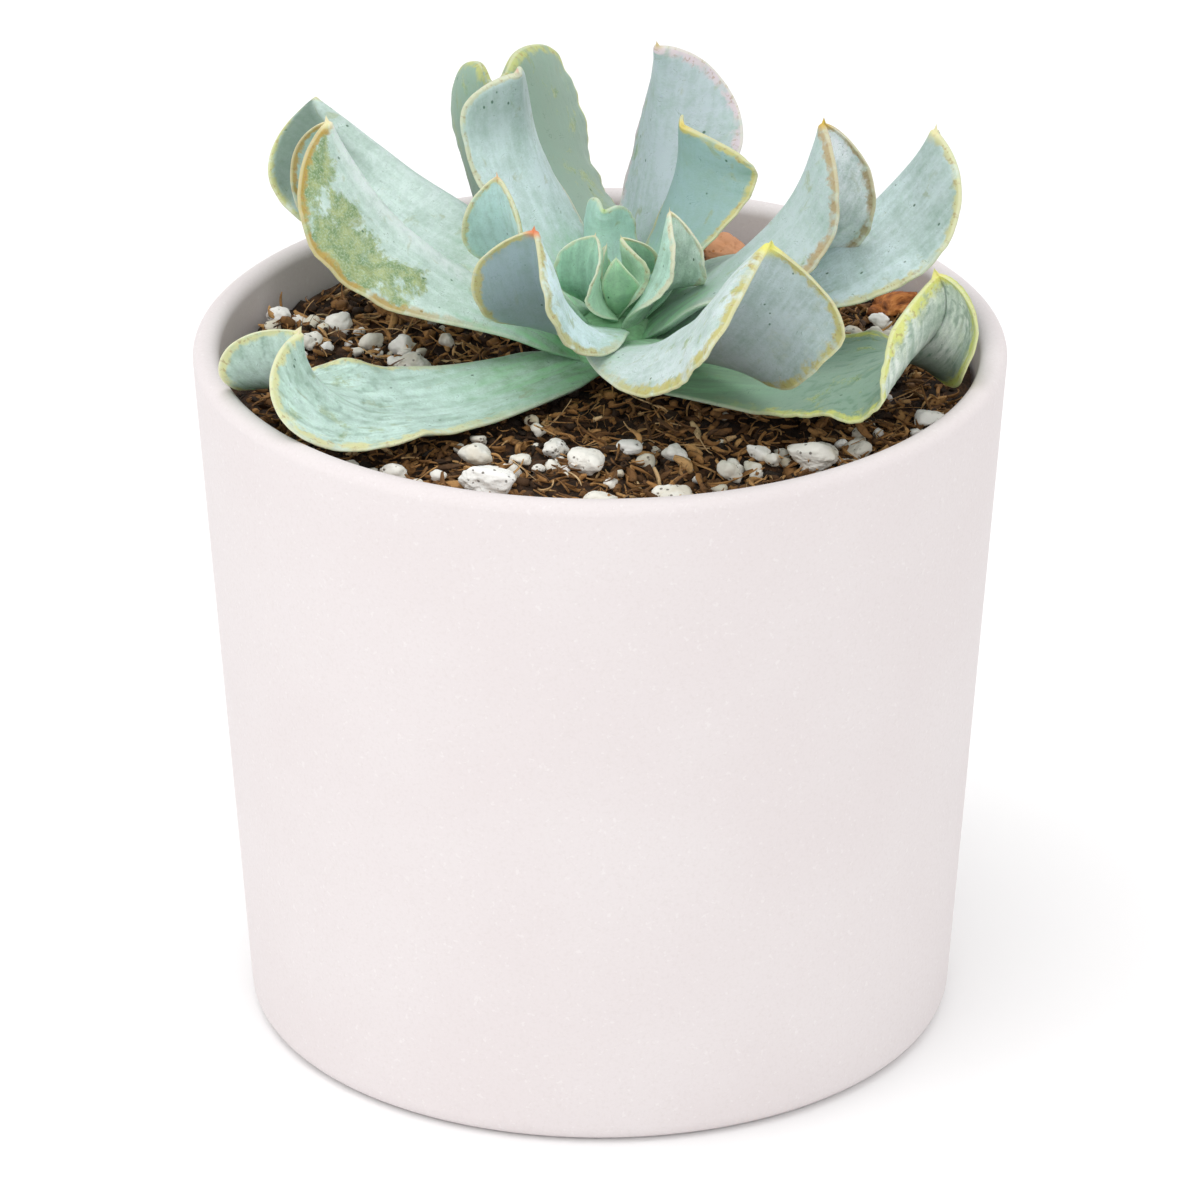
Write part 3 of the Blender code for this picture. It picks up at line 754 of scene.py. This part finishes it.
# The same rows as the CAD leaves: angles in degrees, lengths in millimetres.
LEAVES = {
    "leaf_low_left": dict(
        at=220, long=45, wide=10.5, rise=-4, lift=100, bend=3.5, swing=-20,
        roll=-10, fold=60, lean=-0.15, broad=0.85, foot=77, late=0.6,
        twist=3, wider=-0.15),
    "leaf_low_right": dict(
        at=-15, long=43, wide=13, rise=2, lift=115, bend=4, swing=-5,
        roll=-20, fold=65, lean=0.8, broad=0.85, foot=77, late=0.6,
        twist=4.5, wider=-0.45, span=0.25),
    "leaf_left": dict(
        at=170, long=41, wide=10.5, rise=25, lift=75, bend=2, swing=5,
        roll=-10, fold=60, lean=-0.5, broad=0.7, foot=77, late=0.15),
    "leaf_left_back": dict(
        at=135, long=44, wide=11.5, rise=18, lift=35, bend=3.5, swing=15,
        roll=40, fold=75, lean=-0.1, broad=0.85, foot=81, late=0.15,
        twist=2, wider=0.1),
    "leaf_tall_back": dict(
        at=115, long=38, wide=15.5, rise=25, lift=90, bend=3, swing=5,
        roll=5, fold=70, lean=0.45, broad=0.85, foot=77.5, late=0.15,
        twist=0.7, wider=-0.3),
    "leaf_back_left": dict(
        at=125, long=32, wide=6.5, rise=40, lift=100, bend=2, swing=10,
        roll=10, fold=35, lean=0, broad=0.85, foot=79, late=0.2),
    "leaf_back": dict(
        at=75, long=37, wide=8, rise=28, lift=110, bend=1.5, swing=0,
        roll=-60, fold=55, lean=-0.7, broad=0.6, foot=77.5, late=0.4,
        twist=0.7, wider=-0.35),
    "leaf_back_right": dict(
        at=45, long=24, wide=7, rise=40, lift=115, bend=2, swing=20,
        roll=-35, fold=30, lean=0.1, broad=0.85, foot=81, late=0.25,
        twist=0.7, wider=-0.35),
    "leaf_right_back": dict(
        at=5, long=35, wide=10, rise=35, lift=85, bend=2, swing=-25,
        roll=-15, fold=70, lean=0.15, broad=0.6, foot=79, late=0.2),
    "leaf_right": dict(
        at=10, long=43, wide=10, rise=25, lift=75, bend=3.5, swing=0,
        roll=10, fold=30, lean=0.5, broad=0.75, foot=77, late=0.25,
        twist=0.7, wider=-0.15),
    "leaf_front_right": dict(
        at=-75, long=43, wide=12.5, rise=12, lift=60, bend=1, swing=30,
        roll=-20, fold=55, lean=-0.05, broad=0.85, foot=79, late=0.1),
    "leaf_front_left": dict(
        at=250, long=29, wide=8, rise=10, lift=80, bend=1, swing=-10,
        roll=-5, fold=50, lean=0.2, broad=0.75, foot=81, late=0.15),
    "leaf_mid_left": dict(
        at=200, long=25, wide=5.5, rise=40, lift=80, bend=1, swing=20,
        roll=20, fold=45, lean=-0.15, broad=0.7, foot=80, late=0.2),
    "leaf_mid_right": dict(
        at=-20, out=1, long=17, wide=5.5, rise=50, lift=90, bend=1,
        swing=-15, roll=-5, fold=75, lean=0.3, broad=0.65, foot=80,
        late=0.15),
    "leaf_mid_back": dict(
        at=95, out=1.5, long=13, wide=4.5, rise=45, lift=125, bend=2.5,
        swing=20, roll=-20, fold=55, lean=0.4, broad=0.65, foot=81.5,
        late=0.1, twist=0.7, wider=0.05),
    "leaf_inner_left": dict(
        at=200, out=0.5, long=11, wide=5.5, rise=45, lift=110, bend=0.8,
        swing=25, roll=20, fold=55, lean=0.1, broad=0.65, foot=81.5, late=0,
        twist=0.7, wider=0.25),
    "leaf_inner_right": dict(
        at=15, out=0, long=10, wide=4, rise=60, lift=105, bend=0.8,
        swing=-20, roll=-25, fold=75, lean=0.25, broad=0.7, foot=81.5,
        late=0.1, twist=3),
    "leaf_core_left": dict(
        at=185, out=0.5, long=8.5, wide=1.5, rise=80, lift=100, bend=1.5,
        swing=0, roll=0, fold=30, lean=0, broad=0.6, foot=82, late=0.2),
    "leaf_core_front": dict(
        at=-85, long=8, wide=2, rise=60, lift=100, bend=1.5, swing=-10,
        roll=5, fold=40, lean=0.25, broad=0.6, foot=83, late=0.35,
        twist=0.7, wider=0.25),
    "leaf_core_back": dict(
        at=115, out=1, long=6, wide=1, rise=70, lift=90, bend=1,
        swing=15, roll=20, fold=-10, lean=0, broad=0.65, foot=82.5,
        late=0.2),
}

# How each leaf looks. skin, under: bloom on the two faces; green: the flesh;
# tint, tip: margin band and tip; band: its width in mm; wax: cover of the bloom;
# rub: worn on the (right, left) half; crease: wrinkles near the end; painted_shade: how
# much painted shade darkens the hollow of the lower face; painted_end_shade: (half, how
# much) painted shade darkens the upper face at the end, where half is 1 for the left
# half only and 0 for both; spot: how far from the tip its colour reaches, in
# millimetres; point: how far the tip stands out, in millimetres; ridge_highlight:
# painted highlight along the fold.
GREEN = (160, 214, 166)
LOOKS = {
    "leaf_low_left": dict(
        skin=(212, 238, 229), under=(205, 227, 219), tint=(218, 216, 158), tip=(236, 226, 180),
        spot=1.6, band=1.0, wax=0.8, rub=(0.15, 0.15), crease=0.8, painted_shade=0.75),
    # leaf_low_right: its skin, darker than the other leaves, is partly its own greener colour
    # and partly painted shadow of the leaf above it
    "leaf_low_right": dict(
        skin=(140, 166, 146), under=(246, 253, 244), tint=(212, 216, 112), tip=(230, 226, 130),
        spot=2.6, band=1.3, wax=0.66, rub=(0.35, 0.35), crease=1.0, painted_shade=0.85),
    "leaf_left": dict(
        skin=(215, 233, 227), under=(185, 210, 204), tint=(184, 150, 70), tip=(238, 230, 180),
        spot=2.2, band=0.9, wax=0.82, rub=(0.1, 1.2), crease=0.25, ridge_highlight=0.75),
    "leaf_left_back": dict(
        skin=(209, 226, 221), under=(152, 180, 165), tint=(196, 196, 128), tip=(206, 200, 140),
        spot=1.6, band=0.8, wax=0.85, rub=(0.35, 0.1), crease=0.0, painted_end_shade=(1, 0.75), point=0.1),
    # leaf_tall_back: its skin, darker than the other leaves, is painted shade
    "leaf_tall_back": dict(
        skin=(146, 168, 152), under=(157, 184, 167), tint=(190, 194, 120), tip=(226, 186, 160),
        spot=0.9, band=1.0, wax=0.75, rub=(0.16, 0.16), crease=0.0),
    "leaf_back_left": dict(
        skin=(206, 223, 224), under=(160, 188, 184), tint=(196, 196, 166), tip=(226, 190, 166),
        spot=0.9, band=0.5, wax=0.92, rub=(0.05, 0.05), crease=0.0, painted_end_shade=(0, 0.35)),
    "leaf_back": dict(
        skin=(190, 203, 208), under=(183, 210, 210), tint=(216, 200, 206), tip=(196, 172, 110),
        spot=1.4, band=1.1, wax=0.95, rub=(0.1, 0.14), crease=0.0),
    "leaf_back_right": dict(
        skin=(154, 182, 182), under=(157, 186, 177), tint=(202, 190, 120), tip=(222, 200, 110),
        spot=1.8, band=0.7, wax=0.85, rub=(0.08, 0.08), crease=0.0),
    "leaf_right_back": dict(
        skin=(187, 203, 202), under=(244, 250, 255), tint=(176, 152, 108), tip=(204, 168, 40),
        spot=1.9, band=1.0, wax=0.9, rub=(0.12, 0.12), crease=0.1),
    "leaf_right": dict(
        skin=(214, 231, 233), under=(177, 198, 198), tint=(204, 200, 146), tip=(226, 220, 170),
        spot=2.6, band=0.8, wax=0.88, rub=(0.05, 0.05), crease=0.0, painted_end_shade=(0, 0.28)),
    "leaf_front_right": dict(
        skin=(206, 220, 220), under=(192, 208, 210), tint=(190, 180, 100), tip=(232, 228, 120),
        spot=2.8, band=1.3, wax=0.92, rub=(0.2, 0.2), crease=0.0),
    "leaf_front_left": dict(
        skin=(217, 238, 242), under=(158, 181, 187), tint=(190, 182, 116), tip=(226, 118, 80),
        spot=1.9, band=1.0, wax=0.95, rub=(0.1, 0.1), crease=0.0),
    "leaf_mid_left": dict(
        skin=(208, 243, 238), under=(196, 224, 222), tint=(200, 192, 140), tip=(222, 168, 120),
        spot=1.3, band=0.6, wax=0.9, rub=(0.2, 0.2), crease=0.0),
    "leaf_mid_right": dict(
        skin=(208, 238, 224), under=(240, 254, 246), tint=(212, 206, 176), tip=(232, 222, 180),
        spot=1.5, band=0.6, wax=0.85, rub=(0.0, 0.0), crease=0.0),
    "leaf_mid_back": dict(
        skin=(182, 216, 204), under=(182, 216, 204), tint=(186, 206, 176), tip=(184, 214, 124),
        spot=0.8, band=0.4, wax=0.85, rub=(0.0, 0.0), crease=0.0),
    "leaf_inner_left": dict(
        skin=(198, 232, 206), under=(196, 232, 210), tint=(208, 208, 176), tip=(226, 210, 170),
        spot=0.9, band=0.35, wax=0.8, rub=(0.0, 0.0), crease=0.0),
    "leaf_inner_right": dict(
        skin=(206, 238, 210), under=(194, 230, 204), tint=(206, 202, 164), tip=(226, 216, 170),
        spot=1.0, band=0.4, wax=0.8, rub=(0.0, 0.0), crease=0.0),
    "leaf_core_left": dict(
        skin=(194, 230, 204), under=(190, 228, 204), tint=(210, 206, 180), tip=(226, 214, 180),
        spot=0.8, band=0.3, wax=0.8, rub=(0.0, 0.0), crease=0.0),
    "leaf_core_front": dict(
        skin=(182, 222, 182), under=(180, 222, 182), tint=(170, 204, 160), tip=(190, 212, 160),
        spot=0.8, band=0.25, wax=0.8, rub=(0.0, 0.0), crease=0.0),
    "leaf_core_back": dict(
        skin=(182, 222, 182), under=(180, 222, 182), tint=(170, 204, 160), tip=(190, 212, 160),
        spot=0.7, band=0.25, wax=0.8, rub=(0.0, 0.0), crease=0.0),
}
# Steps in which the midrib's curve, and the curve of each side, are added up.
MIDRIB_STEPS = 400
SIDE_STEPS = 120
# Tips that are dented: depth and half width of the dent, in millimetres.
DENTED = {"leaf_tall_back": (3.0, 2.6), "leaf_mid_back": (0.9, 1.3)}
# How the outline closes at the tip: below 0.7 is rounder, above it more pointed.
CLOSING = {"leaf_left_back": 0.4, "leaf_tall_back": 0.5, "leaf_mid_left": 0.85,
           "leaf_mid_right": 0.9, "leaf_inner_left": 0.85, "leaf_inner_right": 0.9,
           "leaf_core_left": 1.0, "leaf_core_front": 1.1, "leaf_core_back": 1.0}


def midrib(row, s):
    """Points and axes of the midrib at shares s of the length."""
    u = np.linspace(0.0, 1.0, MIDRIB_STEPS + 1)

    def angles(x):
        slope = np.radians(row["rise"] + (row["lift"] - row["rise"]) * x ** row["bend"])
        return slope, np.radians(row["at"] + row["swing"] * x)

    slope, heading = angles(u)
    steps = np.stack([np.cos(slope) * np.cos(heading),
                      np.cos(slope) * np.sin(heading), np.sin(slope)], axis=1)
    walk = np.concatenate([[[0, 0, 0]], np.cumsum((steps[1:] + steps[:-1]) / 2, axis=0)])
    walk *= row["long"] * MM / MIDRIB_STEPS
    at = math.radians(row["at"])
    out = row.get("out", 2.0) * MM
    walk += np.array([PLANT_X + out * math.cos(at), PLANT_Y + out * math.sin(at),
                      row["foot"] * MM])
    centre = np.stack([np.interp(s, u, walk[:, k]) for k in range(3)], axis=1)
    slope, heading = angles(s)
    along = np.stack([np.cos(slope) * np.cos(heading),
                      np.cos(slope) * np.sin(heading), np.sin(slope)], axis=1)
    across = np.stack([-np.sin(heading), np.cos(heading), 0 * heading], axis=1)
    up = np.cross(along, across)
    turn = np.radians(row["roll"] * s ** row.get("twist", 1.0))[:, None]
    side = across * np.cos(turn) + up * np.sin(turn)
    face = up * np.cos(turn) - across * np.sin(turn)
    return centre, along, side, face


def nearest(points, line):
    """Distance from each point to a chain of segments."""
    a, b = line[:-1], line[1:]
    d = b - a
    q = points[:, None, :] - a[None, :, :]
    f = np.clip((q * d).sum(2) / np.maximum((d * d).sum(1), 1e-18), 0.0, 1.0)
    return np.sqrt(((q - f[:, :, None] * d) ** 2).sum(2).min(1))


def leaf(name, row, look, seed):
    """One leaf: a folded sheet with thickness, and the values its material reads."""
    big = row["long"] > 16
    ns, nt = (130, 45) if big else (80, 29)
    size = min(1.0, 0.35 + row["long"] / 60.0)
    u = np.linspace(0.0, 1.0, ns)
    s = 0.02 + 0.979 * (1.0 - (1.0 - u) ** 1.6)
    centre, along, side, face = midrib(row, s)
    broad = row["broad"]
    tail = np.clip((s - broad) / (1.0 - broad), 0.0, 1.0)
    share = np.where(s < broad, 0.45 + 0.55 * ease(0.0, broad, s),
                     (1.0 - tail ** 2.4) ** CLOSING.get(name, 0.7))
    share *= 0.62 + 0.38 * ease(0.0, 0.16, s)
    width = row["wide"] * MM * share
    span = row.get("span", 0.6)
    fold = -12 + (row["fold"] + 12) * ease(row["late"], min(row["late"] + span, 1.0), s)
    t = np.sin(np.linspace(-1.0, 1.0, nt) * 1.45) / math.sin(1.45)
    fine = np.linspace(0.0, 1.0, SIDE_STEPS + 1)
    thick = size * (2.6 - 1.3 * s) * (1.0 - 0.35 * ease(0.86, 1.0, s)) * MM
    thick = np.minimum(thick, 0.50 * width + 0.06 * MM)
    rim = np.minimum(0.38 * MM * min(1.0, 0.4 + row["long"] / 60.0), 0.75 * thick)
    points = np.zeros((ns, nt, 3))
    normal = np.zeros((ns, nt, 3))
    outward = np.zeros((ns, nt, 3))
    for sign in (-1.0, 1.0):
        turn = np.radians(fold * (1.0 + sign * row["lean"]))
        frill = 1.0 + ease(0.2, 0.6, s) * (0.022 * wave(s * 2.2, seed * 7 + int(sign))
                                           + 0.004 * wave(s * 9.0, seed * 9 + int(sign)))
        frill = frill * (1.0 + sign * row.get("wider", 0.0))
        a0, a1 = 0.55 * turn, 1.25 * turn
        start = ease(0.0, 0.16, fine)[None, :]
        angle = a0[:, None] * start + (a1 - a0)[:, None] * fine[None, :]
        curl = (0.14 * wave(s * 2.6, seed * 5 + int(sign))
                + 0.05 * wave(s * 8.0, seed * 3 + int(sign))) * ease(0.3, 0.7, s)
        angle = angle + curl[:, None] * ease(0.45, 1.0, fine)[None, :]
        dx, dy = np.cos(angle), -np.sin(angle)
        none = np.zeros((ns, 1))
        x = np.concatenate([none, np.cumsum((dx[:, 1:] + dx[:, :-1]) / 2, 1)], 1) / SIDE_STEPS
        y = np.concatenate([none, np.cumsum((dy[:, 1:] + dy[:, :-1]) / 2, 1)], 1) / SIDE_STEPS
        for j in range(nt):
            if t[j] * sign < 0 or (j == nt // 2 and sign < 0):
                continue
            k = abs(t[j]) * SIDE_STEPS
            k0 = int(min(k, SIDE_STEPS - 1))
            f = k - k0
            w = width * frill
            px = (x[:, k0] * (1 - f) + x[:, k0 + 1] * f) * w * sign
            py = (y[:, k0] * (1 - f) + y[:, k0 + 1] * f) * w
            an = angle[:, k0] * (1 - f) + angle[:, k0 + 1] * f
            points[:, j] = centre + side * px[:, None] + face * py[:, None]
            normal[:, j] = face * np.cos(an)[:, None] + side * (sign * np.sin(an))[:, None]
            outward[:, j] = side * (sign * np.cos(an))[:, None] - face * np.sin(an)[:, None]
    if name in DENTED:
        depth, spread = DENTED[name]
        across = np.abs(t)[None, :] * width[:, None] / MM
        pull = depth * MM * np.exp(-(across / spread) ** 2) * ease(0.80, 1.0, s)[:, None]
        points -= along[:, None, :] * pull[:, :, None]
    half = 0.5 * (rim[:, None] + (thick - rim)[:, None] * (1.0 - t[None, :] ** 2) ** 0.8)

    # distance in from the margin, and the surface's own map in millimetres
    middle = nt // 2
    margin = np.zeros((ns, nt))
    for low, high, line in ((0, middle, points[:, 0]), (middle, nt, points[:, -1])):
        flat = points[:, low:high].reshape(-1, 3)
        margin[:, low:high] = (nearest(flat, line) / MM).reshape(ns, high - low)
    grid_u = np.broadcast_to((s * row["long"])[:, None], (ns, nt))
    grid_v = t[None, :] * (width / MM)[:, None]

    # slow waves over the face, and fine creases near the end
    flat = points.reshape(-1, 3)
    swell = np.array([noise.noise(Vector(p) * 170 + Vector((seed, 0, 0))) for p in flat])
    swell = swell.reshape(ns, nt)
    lines = np.zeros((ns, nt))
    if look["crease"] > 0:
        ridged = np.array([
            noise.noise(Vector((a * 0.20 + 0.30 * abs(b), b * 1.15 - 0.15 * a, seed * 3.1)))
            for a, b in zip(grid_u.ravel(), grid_v.ravel())]).reshape(ns, nt)
        lines = (1.0 - np.abs(ridged) * 3.4).clip(0, 1) * look["crease"]
        lines *= ease(0.24, 0.66, s)[:, None]
    fade = (1.0 - np.abs(t[None, :]) ** 6) * ease(0.05, 0.2, s)[:, None]
    offset = (0.22 * swell * size - 0.13 * lines) * MM * fade
    arcs = 5
    rows, edge, back, crs, us, vs, rubs, painted_shades, ridge_highlights = [[] for _ in range(9)]
    # painted highlight along the fold, near the midrib
    ridge_highlight_amount = look.get("ridge_highlight", 0.0) * ease(0.25, 0.50, s)
    right, left = look["rub"]
    # painted shade in the hollow of the lower face, fading out towards the tip
    depth = look.get("painted_shade", 0.15) * (1.0 - ease(0.70, 0.90, s))
    # painted shade over the end of the upper face, on one half or on both
    half_side, painted_end_shade = look.get("painted_end_shade", (0, 0.0))
    dim = painted_end_shade * ease(0.70, 0.90, s)[:, None] * ease(0.0, 0.9, margin)
    if half_side:
        dim = dim * ease(0.15, 0.30, half_side * t)[None, :]

    def column(place, e, b, c, j):
        rows.append(place)
        edge.append(e)
        back.append(b + 0 * s)
        crs.append(c)
        us.append(grid_u[:, j])
        vs.append(grid_v[:, j] + 60.0 * (b > 0.5))
        painted_shades.append(depth * b * ease(0.0, 1.2, e) + dim[:, j] * (1.0 - b))
        ridge_highlights.append(ridge_highlight_amount * (1.0 - b) * math.exp(-(t[j] / 0.13) ** 2))
        amount = right + (left - right) * ease(-0.1, 0.25, t[j])
        rubs.append(amount * ease(0.42, 0.66, s) * ease(0.12, 0.55, abs(t[j])))

    for j in range(nt):
        column(points[:, j] + normal[:, j] * (half[:, j] + offset[:, j])[:, None],
               margin[:, j], 0.0, lines[:, j], j)
    for i in range(1, arcs):
        phi = math.pi / 2 - math.pi * i / arcs
        column(points[:, -1] + outward[:, -1] * (half[:, -1] * math.cos(phi))[:, None]
               + normal[:, -1] * (half[:, -1] * math.sin(phi))[:, None],
               0 * s, i / arcs, 0 * s, nt - 1)
    for j in reversed(range(nt)):
        column(points[:, j] - normal[:, j] * (half[:, j] - 0.6 * offset[:, j])[:, None],
               margin[:, j], 1.0, lines[:, j], j)
    for i in range(1, arcs):
        phi = -math.pi / 2 + math.pi * i / arcs
        column(points[:, 0] + outward[:, 0] * (half[:, 0] * math.cos(phi))[:, None]
               + normal[:, 0] * (half[:, 0] * math.sin(phi))[:, None],
               0 * s, 1 - i / arcs, 0 * s, 0)
    ring = len(rows)
    verts = np.stack(rows, axis=1).reshape(-1, 3)
    faces = tube_faces(ns, ring, closed_end=False)
    apex = len(verts)
    tip = points[-1, middle] + along[-1] * look.get("point", 0.8) * MM * size
    verts = np.concatenate([verts, [tip]])
    last = (ns - 1) * ring
    faces += [(last + j, last + (j + 1) % ring, apex) for j in range(ring)]

    def field(columns, end):
        return np.concatenate([np.stack(columns, 1).reshape(-1), [end]])

    count = len(verts)
    every = np.ones(count)
    values = {
        "edge": field(edge, 0.0), "back": field(back, 0.5), "crease": field(crs, 0.0),
        "rub": field(rubs, 0.0),
        "along": np.concatenate([np.repeat(s, ring), [1.0]]),
        "painted_shade": field(painted_shades, 0.0), "ridge_highlight": field(ridge_highlights, 0.0),
        "spot": np.linalg.norm(verts - tip, axis=1) / (look["spot"] * MM),
        "grain": np.stack([field(us, row["long"]), field(vs, 0.0), every * seed * 9.7], 1),
        "wax": every * look["wax"], "band": every * look["band"],
    }
    for key, colour in (("tint", look["tint"]), ("tip_tint", look["tip"]), ("green", GREEN),
                        ("skin", look["skin"]), ("under", look["under"])):
        values[key] = np.tile(srgb(*colour), (count, 1))
    return piece(name.replace("leaf", "blade"), verts, faces, LEAF, [name], values)


for number, (leaf_name, leaf_row) in enumerate(LEAVES.items()):
    leaf(leaf_name, leaf_row, LOOKS[leaf_name], number + 1)


def crown():
    """The short stem inside the rosette."""
    low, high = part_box("crown")
    sides, rings = 48, 16
    verts = []
    for i in range(rings + 1):
        u = i / rings
        r = 4.6 * MM * math.sin(math.pi * (0.04 + 0.92 * u)) ** 0.6
        z = low[2] + 0.1 * MM + (high[2] - low[2] - 0.2 * MM) * (1 - math.cos(math.pi * u)) / 2
        for j in range(sides):
            a = math.tau * j / sides
            b = r * (1 + 0.05 * math.sin(5 * a + 3 * u))
            verts.append((PLANT_X + b * math.cos(a), PLANT_Y + b * math.sin(a), z))
    faces = tube_faces(rings + 1, sides)
    count = len(verts)
    one = np.ones(count)
    values = {"edge": one * 5, "back": one * 0, "crease": one * 0, "along": one * 0,
              "spot": one * 9, "painted_shade": one * 0, "ridge_highlight": one * 0, "rub": one * 0,
              "band": one * 0, "wax": one * 0.5,
              "grain": np.array(verts) / MM}
    for key in ("tint", "tip_tint", "green", "skin", "under"):
        values[key] = np.tile(srgb(*GREEN), (count, 1))
    return piece("stem_heart", verts, faces, LEAF, ["crown"], values)


crown()

# ---------------------------------------------------------------- floor
bpy.ops.mesh.primitive_plane_add(size=8.0, location=(0.0, 0.0, 0.0))
floor = bpy.context.active_object
floor.name = "studio_floor"
floor.data.materials.append(floor_material())
